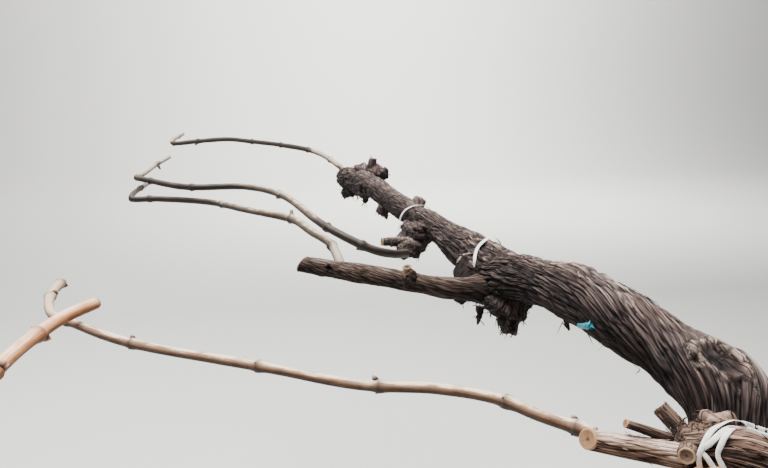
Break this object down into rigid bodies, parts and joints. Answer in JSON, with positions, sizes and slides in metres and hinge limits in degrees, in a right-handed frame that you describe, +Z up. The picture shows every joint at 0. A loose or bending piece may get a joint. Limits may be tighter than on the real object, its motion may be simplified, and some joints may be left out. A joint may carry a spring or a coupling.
{
  "type": "grapevine",
  "caption": "Dormant pruned grapevine: a leaning trunk that bends over into a level overhead cordon, with a sawn old arm, cut spurs and long bare canes reaching out to one side",
  "frame": {"origin": "middle of the flat cut under the trunk, at ground level", "axes": "+Z up; +Y along the row, the way the cordon runs from the arch; the canes reach out to -X"},
  "size_m": [0.7438, 2.6383, 1.3917],
  "materials": {
    "bark": "old shredding grapevine bark, dark brown-grey, matte",
    "arm_bark": "younger stringy bark, red-brown, matte, pale sawn ends",
    "cane_bark": "smooth tan-grey cane bark with darker joints, satin",
    "russet_cane_bark": "smooth russet cane bark, satin",
    "white_tie": "weathered white tying tape",
    "teal_tie": "faded teal binding"
  },
  "bodies": {
    "root": {"trunk": "bark", "arch": "bark", "cordon": "bark", "spur_head": "bark", "cut_spur": "bark", "old_arm": "arm_bark", "near_arm": "bark", "near_spur": "arm_bark", "fan_stub": "bark", "thin_stub": "bark", "face_stub": "bark", "cane_near": "cane_bark", "cane_outer": "russet_cane_bark", "cane_middle": "cane_bark", "cane_long": "cane_bark", "cane_end": "cane_bark", "tie_cordon": "white_tie", "tie_head": "white_tie", "tie_arm_outer": "white_tie", "tie_arm_inner": "white_tie", "tie_teal": "teal_tie"}
  },
  "joints": []
}
